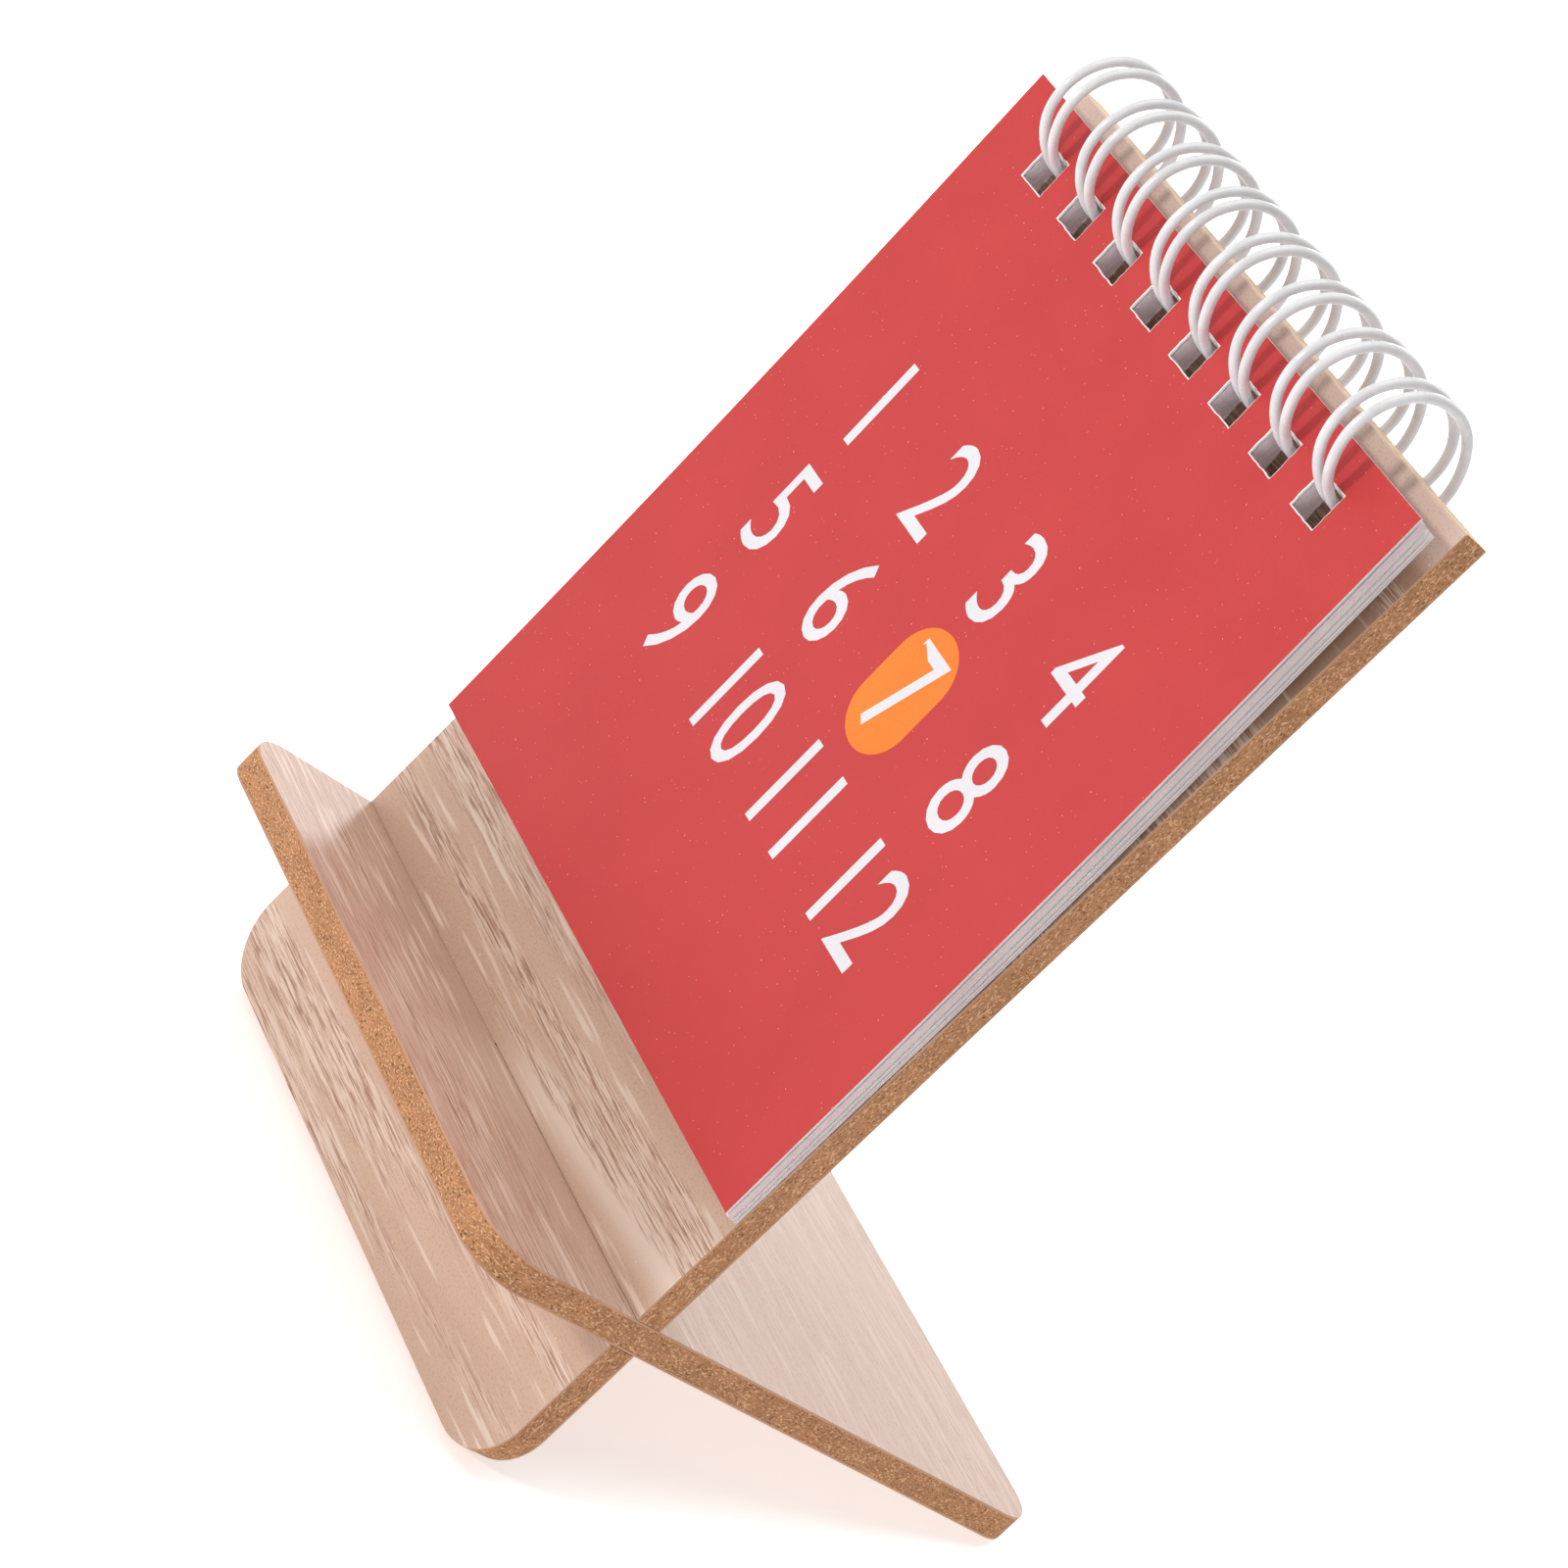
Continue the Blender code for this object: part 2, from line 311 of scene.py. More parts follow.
# %% Streaks
STREAK_SHIFT = (0.0, 0.004, 0.004)
BAND_CLIMB = -0.08
WAVES_PER_METRE = 16.0
DRIFTS_PER_METRE = 9.0
TONE_GRAIN = (6.0, 120.0, 120.0)
BAND_GRAIN = (5.0, 125.0, 125.0)
LINE_GRAIN = (130.0, 4200.0, 4200.0)
DASH_GRAIN = (260.0, 6000.0, 6000.0)
LENS_GRAIN = (75.0, 1100.0, 1100.0)
TONE_CUT = (0.3, 0.7)
BAND_CUT = (0.46, 0.56)
LENS_CUT = (0.60, 0.71)
PALE_LINE_CUT, PALE_DASH_CUT = (0.53, 0.62), (0.56, 0.66)
BROWN_LINE_CUT, BROWN_DASH_CUT = (0.47, 0.38), (0.44, 0.34)
LIP_LINES, LEG_LINES = 0.4, 0.55
MORE_LENSES = 0.05
LEG_BROWN = 0.2
# Painted sheen: how much of the pale beige the leg takes for the sheen it catches from behind.
LEG_PAINTED_SHEEN = 0.85
BEHIND_PAD_SHADE_SHARE = 0.55


def pushed_about(tree, place, per_metre, reach):
    """The place, moved by a slow noise as far as the reach says."""
    sway = add_node(tree, "ShaderNodeTexNoise", {"Vector": place, "Scale": per_metre, "Detail": 2.0})
    centred = shifted(tree, sway.outputs["Color"], (-0.5, -0.5, -0.5))
    return shifted(tree, place, resized(tree, centred, reach))


def make_wood_streaks():
    group, given = new_group("wood_streaks", {"Waviness": 0.0012, "Drift": 0.006})
    on_leg, on_lip, below_strip, painted_shade_behind_pad, painted_sheen_band = veneer_parts(group, given["Place"])
    place = shifted(group, given["Place"], STREAK_SHIFT)
    climbing = add_node(group, "ShaderNodeVectorRotate", {"Vector": place, "Angle": BAND_CLIMB},
                        rotation_type="Z_AXIS").outputs[0]
    wavy = pushed_about(group, place, WAVES_PER_METRE, given["Waviness"])
    drifting = pushed_about(group, climbing, DRIFTS_PER_METRE, given["Drift"])

    tone = ramp(group, noise(group, drifting, TONE_GRAIN, detail=3.0), *TONE_CUT)
    bands = ramp(group, noise(group, drifting, BAND_GRAIN, detail=2.0), *BAND_CUT)
    always = larger(group, times(group, on_lip, LIP_LINES), times(group, on_leg, LEG_LINES))
    bands = larger(group, always, bands)
    lines = noise(group, wavy, LINE_GRAIN, detail=2.0, roughness=0.6)
    dashes = noise(group, wavy, DASH_GRAIN, detail=1.0)
    lenses = maths(group, "ADD", noise(group, wavy, LENS_GRAIN, detail=1.5),
                   times(group, larger(group, on_lip, on_leg), MORE_LENSES))

    pale = larger(group, ramp(group, lines, *PALE_LINE_CUT), ramp(group, dashes, *PALE_DASH_CUT))
    pale = larger(group, times(group, pale, bands), ramp(group, lenses, *LENS_CUT))
    brown = larger(group, ramp(group, lines, *BROWN_LINE_CUT), ramp(group, dashes, *BROWN_DASH_CUT))
    off_leg = ramp(group, on_leg, 0.0, 1.0, 1.0, LEG_BROWN)
    brown = times(group, times(group, brown, bands), times(group, below_strip, off_leg))
    # Painted shade: the veneer behind the pad takes the brown as well.
    brown = larger(group, brown, times(group, painted_shade_behind_pad, BEHIND_PAD_SHADE_SHARE))
    # Painted light: all above the pad's top, and the leg by its share, take the pale beige.
    painted_light = larger(group, maths(group, "SUBTRACT", 1.0, below_strip), times(group, on_leg, LEG_PAINTED_SHEEN))
    # Painted sheen: the tone is raised to the light beige all over the leg.
    return give_out(group, {"Tone And Leg Sheen": larger(group, tone, on_leg), "Pale": times(group, pale, below_strip),
                            "Brown And Shade": brown, "Grain": lines, "Strip": painted_light, "Sheen Band": painted_sheen_band})


WOOD_STREAKS = make_wood_streaks()
print("the streak group has", len(WOOD_STREAKS.nodes), "nodes")

# %% [markdown]
# ### Specks
# The print has sparse pale dots, and so has the cover's ink, where it did not take. Dots could be strewn on
# the faces as small meshes, but a cell pattern is lighter: each cell has a random number of its own, and only
# the few cells under a given share show a dot.

# %% Specks
def make_specks():
    """Sparse round spots: a cell of the pattern holds one if its own random number is under the share."""
    group, given = new_group("specks", {"Per Metre": 900.0, "Share": 0.2, "Radius": 0.2})
    cells = add_node(group, "ShaderNodeTexVoronoi", {"Vector": given["Place"], "Scale": given["Per Metre"]})
    draws = add_node(group, "ShaderNodeSeparateColor", {0: cells.outputs["Color"]})
    chosen = maths(group, "LESS_THAN", draws.outputs[0], given["Share"])
    inside = maths(group, "LESS_THAN", cells.outputs["Distance"], given["Radius"])
    return give_out(group, {"Spot": times(group, times(group, chosen, inside), draws.outputs[1])})


SPECKS = make_specks()
print("the speck group has", len(SPECKS.nodes), "nodes")

# %% [markdown]
# ### The veneer's colours
# The face is a satin film, so its roughness is moderate and follows the grain a little. Its thin cut edge is
# matt and browner, and along the top of the back board its wider eased rim is painted pale, a painted
# highlight for the light it catches. All three could be one material with more masks, but the faces are known
# here, so each gets a finish of its own.

# %% Veneer finishes
BEIGE = (0.508, 0.328, 0.236)
LIGHT_BEIGE = (0.602, 0.412, 0.310)
# Painted light: a paler beige for the margin above the pad, and painted sheen on the leg.
PAINTED_LIGHT_BEIGE = (0.66, 0.48, 0.40)
PALE_STREAK_AND_SHEEN = (0.71, 0.56, 0.465)
BROWN_STREAK_AND_SHADE = (0.25, 0.105, 0.055)
PORE_GRAIN = (2400.0, 6000.0, 6000.0)
PORE_SHARE = 0.26
BROWN_SHARE = 0.72
PALE_SHARE = 0.85
GRAIN_DEEP = 0.02 * MM


def make_veneer():
    finish, tree, shader, spot = new_finish("wood_veneer", 0.4)
    flat = in_stand(tree, spot)
    grain = use_group(tree, WOOD_STREAKS, {"Place": flat})
    specks = use_group(tree, SPECKS, {"Place": flat, "Per Metre": 800.0, "Share": 0.12, "Radius": 0.11})
    pores = ramp(tree, noise(tree, flat, PORE_GRAIN, detail=2.0), 0.5, 0.30, 0.0, PORE_SHARE)
    colour = mix_colour(tree, grain["Tone And Leg Sheen"], BEIGE, LIGHT_BEIGE)
    # Painted light above the pad and painted sheen on the leg.
    colour = mix_colour(tree, grain["Strip"], colour, PAINTED_LIGHT_BEIGE)
    colour = mix_colour(tree, pores, colour, BROWN_STREAK_AND_SHADE)
    # Painted sheen: the pale band.
    colour = mix_colour(tree, grain["Sheen Band"], colour, PALE_STREAK_AND_SHEEN)
    # Brown streaks, and painted shade behind the pad.
    colour = mix_colour(tree, times(tree, grain["Brown And Shade"], BROWN_SHARE), colour, BROWN_STREAK_AND_SHADE)
    colour = mix_colour(tree, times(tree, grain["Pale"], PALE_SHARE), colour, PALE_STREAK_AND_SHEEN)
    colour = mix_colour(tree, specks["Spot"], colour, PALE_STREAK_AND_SHEEN)
    feed(tree, shader, {"Base Color": colour, "Roughness": ramp(tree, grain["Grain"], 0.3, 0.7, 0.46, 0.34)})
    bump(tree, shader, grain["Grain"], GRAIN_DEEP)
    return finish


def make_veneer_edge(name, low, high):
    finish, tree, shader, spot = new_finish(name, 0.6)
    grain = use_group(tree, WOOD_STREAKS, {"Place": in_stand(tree, spot)})
    feed(tree, shader, {"Base Color": mix_colour(tree, grain["Tone And Leg Sheen"], low, high)})
    return finish


VENEER = make_veneer()
VENEER_EDGE = make_veneer_edge("veneer_edge", (0.44, 0.215, 0.115), (0.54, 0.29, 0.17))
# Painted highlight: the wide eased rim along the back board's top is pale for the light it catches.
TOP_RIM_HIGHLIGHT = make_veneer_edge("veneer_top_rim_painted_highlight", (0.62, 0.45, 0.32), (0.76, 0.60, 0.47))
print("made", VENEER.name, VENEER_EDGE.name, TOP_RIM_HIGHLIGHT.name)

# %% [markdown]
# ## Sawn fibreboard
# The core of each board is fibreboard. Its sawn edge is a warm orange brown, full of short light and dark
# fibres that lie flat in the board. Two noises of different size, squeezed through steep ramps, give flecks
# instead of clouds. A cell pattern would be the other way, but it gives grains, not fibres. The walls of the
# punched wire holes are painted very dark, a painted shade for the shade inside them, and the top edge is
# painted a pale tan, a painted highlight for the light it catches: the same flecks in other colours, so all
# these finishes share one node group.

# %% Fibreboard
ELSEWHERE = (31.0, 17.0, 53.0)
PATCH_SHADE = 0.82
DARK_SHARE = 0.85
LIGHT_SHARE = 0.8
FIBRE_DEEP = 0.09 * MM


def make_fibre_flecks():
    group, given = new_group("fibre_flecks", {"Per Metre": 3000.0})
    sized = resized(group, given["Place"], given["Per Metre"])
    aside = shifted(group, sized, ELSEWHERE)
    light = noise(group, sized, (1.0, 1.0, 1.0), detail=1.0)
    dark = noise(group, aside, (0.8, 0.8, 0.8), detail=1.5)
    patch = noise(group, aside, (0.12, 0.12, 0.12), detail=2.0)
    return give_out(group, {"Light": ramp(group, light, 0.54, 0.66), "Dark": ramp(group, dark, 0.44, 0.32),
                            "Patch": ramp(group, patch, 0.35, 0.65),
                            "Height": maths(group, "ADD", light, dark)})


FIBRE_FLECKS = make_fibre_flecks()


def make_fibreboard(name, squeeze, base, light, dark):
    """Flecks that are squeezed in the direction of the board's thickness."""
    finish, tree, shader, spot = new_finish(name, 0.85)
    flecks = use_group(tree, FIBRE_FLECKS, {"Place": stretched(tree, in_stand(tree, spot), squeeze)})
    deep = tuple(PATCH_SHADE * value for value in base)
    colour = mix_colour(tree, flecks["Patch"], deep, base)
    colour = mix_colour(tree, times(tree, flecks["Dark"], DARK_SHARE), colour, dark)
    colour = mix_colour(tree, times(tree, flecks["Light"], LIGHT_SHARE), colour, light)
    feed(tree, shader, {"Base Color": colour})
    bump(tree, shader, flecks["Height"], FIBRE_DEEP)
    return finish


FLAT_IN_BACK = (1.0, 1.0, 1.8)
FLAT_IN_CROSS = (1.0, 1.8, 1.0)
FIBRE_COLOURS = ((0.46, 0.205, 0.085), (0.73, 0.43, 0.23), (0.13, 0.048, 0.016))
# Painted highlight: paler flecks for the back board's top face.
TOP_HIGHLIGHT_COLOURS = ((0.78, 0.55, 0.38), (0.86, 0.68, 0.52), (0.52, 0.30, 0.17))
# Painted shade: very dark flecks for the walls of the wire holes.
HOLE_SHADE_COLOURS = ((0.10, 0.055, 0.04), (0.20, 0.12, 0.09), (0.03, 0.016, 0.012))
BACK_FIBREBOARD = make_fibreboard("back_board_sawn_edge", FLAT_IN_BACK, *FIBRE_COLOURS)
CROSS_FIBREBOARD = make_fibreboard("cross_board_sawn_edge", FLAT_IN_CROSS, *FIBRE_COLOURS)
HOLE_WALL_SHADE = make_fibreboard("hole_wall_painted_shade", FLAT_IN_BACK, *HOLE_SHADE_COLOURS)
TOP_EDGE_HIGHLIGHT = make_fibreboard("sawn_edge_painted_highlight", FLAT_IN_BACK, *TOP_HIGHLIGHT_COLOURS)
print("made", BACK_FIBREBOARD.name, CROSS_FIBREBOARD.name, HOLE_WALL_SHADE.name, TOP_EDGE_HIGHLIGHT.name)

# %% [markdown]
# ## Cutting flat panels
# Boards and sheets are all flat panels with straight slots and square holes. A panel starts as one face. Its
# corners are rounded by a vertex bevel, the lines of each slot and hole are cut by bisect planes, the faces
# inside them are deleted, and the rest is extruded to its thickness. A Boolean would do it too, but these
# operators leave clean walls whose faces can be told apart afterwards.

# %% Cut a panel
ARC_STEPS = 16
ALL_CORNERS = range(4)  # from lower left, anticlockwise
LOW_CORNERS = ALL_CORNERS[:2]


def cut_panel(low, high, corners, radius, windows, rows=()):
    """A flat panel from low to high in x and y, with some corners rounded and some rectangles cut away.

    Rows are heights at which the panel gets an extra line, so that it can be bent.
    """
    bm = bmesh.new()
    spots = [(low.x, low.y), (high.x, low.y), (high.x, high.y), (low.x, high.y)]
    verts = [bm.verts.new((x, y, 0)) for x, y in spots]
    bm.faces.new(verts)
    if corners:
        bmesh.ops.bevel(bm, geom=[verts[corner] for corner in corners], offset=radius, offset_type="OFFSET",
                        segments=ARC_STEPS, profile=0.5, affect="VERTICES", material=-1)
    across = sorted({round(x, 7) for window in windows for x in (window[0], window[2])})
    along = sorted({round(y, 7) for window in windows for y in (window[1], window[3])} | set(rows))
    lines = [((x, 0, 0), (1, 0, 0)) for x in across] + [((0, y, 0), (0, 1, 0)) for y in along]
    for point, normal in lines:
        everything = bm.verts[:] + bm.edges[:] + bm.faces[:]
        bmesh.ops.bisect_plane(bm, geom=everything, dist=1e-7, plane_co=point, plane_no=normal)
    inside = []
    for face in bm.faces:
        middle = face.calc_center_median()
        if any(x0 < middle.x < x1 and y0 < middle.y < y1 for x0, y0, x1, y1 in windows):
            inside.append(face)
    bmesh.ops.delete(bm, geom=inside, context="FACES")
    return bm


print("a rounded corner has", ARC_STEPS, "steps")

# %% [markdown]
# ## From a panel to a piece
# A panel is extruded, its rims are eased, and its mesh is moved to its place. No sawn edge is quite sharp,
# and a narrow bevel catches the light as the real edge does. A Bevel modifier would ease every edge of the
# piece, so the operator is given the chosen ones alone.

# %% Thicken, ease and settle
def thicken(bm, low_z, high_z):
    """Extrudes a flat panel from one height to another. Its side walls get material 1."""
    bmesh.ops.translate(bm, vec=(0, 0, low_z), verts=bm.verts[:])
    made = bmesh.ops.extrude_face_region(bm, geom=bm.faces[:])
    lifted = [item for item in made["geom"] if isinstance(item, bmesh.types.BMVert)]
    bmesh.ops.translate(bm, vec=(0, 0, high_z - low_z), verts=lifted)
    bmesh.ops.recalc_face_normals(bm, faces=bm.faces[:])
    for face in bm.faces:
        face.material_index = 1 if abs(face.normal.z) < 0.5 else 0


def ease_rim(bm, height, width, chosen=None, finish=None):
    """Breaks the sharp rim round the face at that height, or the chosen part of it."""
    rim = [edge for edge in bm.edges
           if all(abs(vert.co.z - height) < 1e-6 for vert in edge.verts)
           and len({face.material_index for face in edge.link_faces}) == 2
           and (chosen is None or chosen((edge.verts[0].co + edge.verts[1].co) / 2))]
    made = bmesh.ops.bevel(bm, geom=rim, offset=width, offset_type="OFFSET", segments=2, profile=0.5,
                           affect="EDGES", material=-1, clamp_overlap=True)
    if finish is not None:
        for face in made["faces"]:
            face.material_index = finish


def add_object(name, bm, finishes):
    mesh = bpy.data.meshes.new(name)
    bm.to_mesh(mesh)
    bm.free()
    for finish in finishes:
        mesh.materials.append(finish)
    made = bpy.data.objects.new(name, mesh)
    bpy.context.scene.collection.objects.link(made)
    return made


def settle(name, bm, place, body, finishes, nodes):
    """Puts a drawn shape in its place, as a piece that rides on a body and stands for CAD nodes."""
    bmesh.ops.transform(bm, matrix=place, verts=bm.verts[:])
    piece = add_object(name, bm, finishes)
    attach(piece, body)
    if nodes:
        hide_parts(*nodes)
    print(name, "has", len(piece.data.polygons), "faces")


# %% [markdown]
# ## The back board
# The tall board is square at its top and round at its foot. A slot as wide as a board is thick runs from its
# right edge to the middle, for the cross board, and eight square holes along the top take the wire. Core and
# veneers are cut together in the real factory, so they share one outline here. Only the outer rims of the
# veneers are eased, wider along the top. The walls of the wire holes get a painted shade finish, and the top
# face of the core and the top rims of the veneers a painted highlight.

# %% Back board
RIM = 0.10 * MM
TOP_RIM = 0.24 * MM
SLOT_PLAY = 0.15 * MM
LIP_PLAY = 0.03 * MM
HOLE_PITCH = 25.4 / 3 * MM
HOLE_SIZE = 4.2 * MM
BOARD_HOLE_MARGIN = 3.6 * MM
BACK_CORNER = 7.5 * MM
HOLE_COUNT = 8
HOLE_X = [(k - (HOLE_COUNT - 1) / 2) * HOLE_PITCH for k in range(HOLE_COUNT)]
BEYOND = 10 * MM

back_high = node_box("back_board_core", STAND)[1]
cross_low = node_box("cross_board_under_veneer", STAND)[0]
hole_top = back_high.y - BOARD_HOLE_MARGIN
back_windows = [(x - HOLE_SIZE / 2, hole_top - HOLE_SIZE, x + HOLE_SIZE / 2, hole_top) for x in HOLE_X]
back_windows.append((-SLOT_PLAY, cross_low.y - LIP_PLAY, back_high.x + BEYOND, LIP_PLAY))


def board_layer(name, node, place, corners, radius, windows, body, slot, finishes, rim_side):
    """One layer of a board, cut to the CAD node's thickness. A rim side of 1 or -1 is the outer face."""
    low, high = node_box(node, place)
    bm = cut_panel(low, high, corners, radius, windows)
    thicken(bm, low.z, high.z)
    if rim_side:
        outer = high.z if rim_side > 0 else low.z
        on_top = (lambda spot: spot.y > high.y - RIM) if body == "back_board" else (lambda spot: False)
        # Painted highlight: the rim along the top of the back board gets the pale finish 2.
        ease_rim(bm, outer, TOP_RIM, on_top, 2)
        ease_rim(bm, outer, RIM, lambda spot: not on_top(spot))
    if slot == "fibreboard":
        for face in bm.faces:
            middle = face.calc_center_median()
            # Painted shade: the walls of the wire holes take finish 1.
            in_hole = abs(middle.y - hole_top + HOLE_SIZE / 2) < 0.51 * HOLE_SIZE and body == "back_board"
            face.material_index = 1 if in_hole and abs(middle.x) < high.x - MM else 0
            # Painted highlight: the core's top face takes finish 2.
            if body == "back_board" and face.normal.y > 0.9 and middle.y > high.y - RIM:
                face.material_index = 2
    settle(name, bm, place, body, finishes, [node])


board_layer("back_board_middle", "back_board_core", STAND, LOW_CORNERS, BACK_CORNER, back_windows,
            "back_board", "fibreboard", (BACK_FIBREBOARD, HOLE_WALL_SHADE, TOP_EDGE_HIGHLIGHT), 0)
for side, direction in (("front", 1), ("rear", -1)):
    board_layer(f"back_board_{side}_face", f"back_board_{side}_veneer", STAND, LOW_CORNERS, BACK_CORNER,
                back_windows, "back_board", "veneer", (VENEER, VENEER_EDGE, TOP_RIM_HIGHLIGHT), direction)

# %% [markdown]
# ## The cross board
# The short board lies across the back board at a right angle. Its front end is the lip that a phone can lean
# against and its rear end is the leg. All four of its corners are round, and its slot comes from the left, so
# the two boards pass through each other to half their width. It is the same kind of panel in other
# directions.

# %% Cross board
CROSS_CORNER = 6.0 * MM
cross_left = node_box("cross_board_core", CROSS)[0].x
board_depth = -cross_low.y
cross_windows = [(cross_left - BEYOND, -LIP_PLAY, SLOT_PLAY, board_depth + SLOT_PLAY)]
board_layer("cross_board_middle", "cross_board_core", CROSS, ALL_CORNERS, CROSS_CORNER, cross_windows,
            "cross_board", "fibreboard", (CROSS_FIBREBOARD, HOLE_WALL_SHADE), 0)
for side, direction in (("top", 1), ("under", -1)):
    board_layer(f"cross_board_{side}_face", f"cross_board_{side}_veneer", CROSS, ALL_CORNERS, CROSS_CORNER,
                cross_windows, "cross_board", "veneer", (VENEER, VENEER_EDGE, TOP_RIM_HIGHLIGHT), direction)

# %% [markdown]
# ## The binding wire
# Twin-loop binding is one steel wire in a white nylon coat. Each loop is a pair of wires: it starts at a tip
# behind the board, comes forward through a hole, goes round the ring and ends at the spine, where a bend
# leads to the next loop. Turned rings would be quicker to make, but their ends would not meet, so the wire is
# one curve with a round bevel. The ring is pressed a little oval, the pair of wires opens from its tip
# towards the spine, and no two loops are bent quite alike.

# %% One side of a loop
WIRE_RADIUS = 0.55 * MM
WIRE_PLAY = 0.1 * MM
HALF_GAPS = ((0.0, 0.68 * MM), (0.2, 0.70 * MM), (0.36, 1.20 * MM), (0.8, 1.20 * MM), (1.0, 1.75 * MM))
RING_DEEPER = 0.55 * MM
TIP_REACH = 1.4 * MM
TIP_RISE = 0.6 * MM
SPINE_DIP = 1.6 * MM
LOOP_SWAY = 0.09 * MM
RING_STEPS = 54
RING_TURN = 1.5 * math.pi
BEND_STEPS = 12

axis_spot = STAND.inverted() @ Vector(hinge["pos_m"])
ring_radius = node_box("binding_wire", STAND)[1].y - axis_spot.y - WIRE_RADIUS
ring_low = axis_spot.y - ring_radius
board_rear = node_box("back_board_rear_veneer", STAND)[0].z
rear_wire_z = board_rear - WIRE_PLAY - WIRE_RADIUS


def half_gap(share):
    """Half the distance of a loop's two wires, at that share of the way from the tip to the spine."""
    for (start, low), (end, high) in zip(HALF_GAPS, HALF_GAPS[1:]):
        if share <= end:
            part = (share - start) / (end - start)
            return low + (high - low) * part * part * (3 - 2 * part)
    return HALF_GAPS[-1][1]


def loop_side():
    """One side of a loop from its tip to the spine, as (y, z, half gap, share of the way)."""
    ring_depth = ring_radius + RING_DEEPER
    tip_z = board_rear - TIP_REACH
    path = []
    for step in range(BEND_STEPS):
        share = step / BEND_STEPS
        rise = TIP_RISE * (1 - share) ** 2
        path.append((ring_low + rise, tip_z + share * (axis_spot.z - tip_z)))
    for step in range(RING_STEPS + 1):
        angle = RING_TURN * step / RING_STEPS
        path.append((axis_spot.y - ring_radius * math.cos(angle), axis_spot.z + ring_depth * math.sin(angle)))
    path.append((hole_top, rear_wire_z))
    run = [0.0]
    for (y0, z0), (y1, z1) in zip(path, path[1:]):
        run.append(run[-1] + math.hypot(y1 - y0, z1 - z0))
    side = []
    for (y, z), done in zip(path, run):
        share = done / run[-1]
        side.append((y, z, half_gap(share), share))
    return side


print("the ring's radius is", round(ring_radius / MM, 2), "mm")

# %% [markdown]
# ### The whole wire
# The path goes down the left side of each loop, round its tip, up its right side and along a sagging bend to
# the next. The swap from a curve to a mesh leaves a seam of double points, which are merged before the
# normals are made to point outwards.

# %% Wire path and mesh
BENDS_SEED = 11
WIRE_ROUNDNESS = 4


def wire_path():
    """The whole wire: down each loop's left side, round its tip, up its right side, along to the next."""
    side = loop_side()
    tip_y, tip_z, tip_gap, _ = side[0]
    spine_y, spine_z, spine_gap, _ = side[-1]
    half_span = HOLE_PITCH / 2 - spine_gap
    bends = random.Random(BENDS_SEED)
    half_turn = [math.pi * step / BEND_STEPS for step in range(1, BEND_STEPS)]
    path = []
    for k, x in enumerate(HOLE_X):
        sway = bends.uniform(-LOOP_SWAY, LOOP_SWAY)
        path += [(x - gap + sway * math.sin(math.pi * share), y, z) for y, z, gap, share in reversed(side)]
        for angle in half_turn:
            path.append((x - tip_gap * math.cos(angle), tip_y, tip_z - tip_gap * math.sin(angle)))
        path += [(x + gap + sway * math.sin(math.pi * share), y, z) for y, z, gap, share in side]
        if k == HOLE_COUNT - 1:
            break
        for angle in half_turn:
            across = x + HOLE_PITCH / 2 - half_span * math.cos(angle)
            path.append((across, spine_y - SPINE_DIP * math.sin(angle), spine_z))
    return path


def curve_mesh(data):
    """A curve or text as a mesh, without leaving the curve behind."""
    holder = bpy.data.objects.new("holder", data)
    bpy.context.scene.collection.objects.link(holder)
    shown = holder.evaluated_get(bpy.context.evaluated_depsgraph_get())
    mesh = bpy.data.meshes.new_from_object(shown)
    bpy.data.objects.remove(holder)
    return mesh


wire_curve = bpy.data.curves.new("wire_path", "CURVE")
wire_curve.dimensions = "3D"
wire_curve.bevel_depth = WIRE_RADIUS
wire_curve.bevel_resolution = WIRE_ROUNDNESS
wire_curve.use_fill_caps = True
points = wire_path()
spline = wire_curve.splines.new("POLY")
spline.points.add(len(points) - 1)
for point, place in zip(spline.points, points):
    point.co = (*place, 1.0)
wire_shape = bmesh.new()
wire_shape.from_mesh(curve_mesh(wire_curve))
bmesh.ops.remove_doubles(wire_shape, verts=wire_shape.verts[:], dist=1e-7)
bmesh.ops.recalc_face_normals(wire_shape, faces=wire_shape.faces[:])
for face in wire_shape.faces:
    face.smooth = True
    face.material_index = 0
print("the wire has", len(points), "points")

# %% [markdown]
# The coat is a soft, slightly grey white with a gloss that catches the studio lights. Nylon that has been
# bent shows faint stretch marks and a few dull patches, so a slow noise moves its roughness and its grey a
# little.

# %% Nylon coat
DULL_GRAIN = (260.0, 260.0, 260.0)
MARK_GRAIN = (2600.0, 2600.0, 2600.0)
MARK_DEEP = 0.01 * MM


def make_nylon():
    finish, tree, shader, spot = new_finish("white_nylon_coat", 0.28)
    dull = noise(tree, spot, DULL_GRAIN, detail=3.0)
    marks = noise(tree, spot, MARK_GRAIN, detail=2.0)
    colour = mix_colour(tree, ramp(tree, dull, 0.35, 0.7), (0.67, 0.66, 0.67), (0.75, 0.74, 0.745))
    feed(tree, shader, {"Base Color": colour, "Roughness": ramp(tree, dull, 0.35, 0.65, 0.22, 0.38),
                        "Coat Weight": 0.25, "Coat Roughness": 0.12})
    bump(tree, shader, marks, MARK_DEEP)
    return finish


settle("wire_loops", wire_shape, STAND, "back_board", (make_nylon(),), ["binding_wire"])

# %% [markdown]
# ## Card and paper
# The cover is matt card, printed red on its face and white on its back and cut edge. The leaves behind it are
# white paper. All of them show a fine felt of fibres when seen close, so one group gives that felt to every
# sheet. The red print also has tiny pale pinholes where the ink did not take.

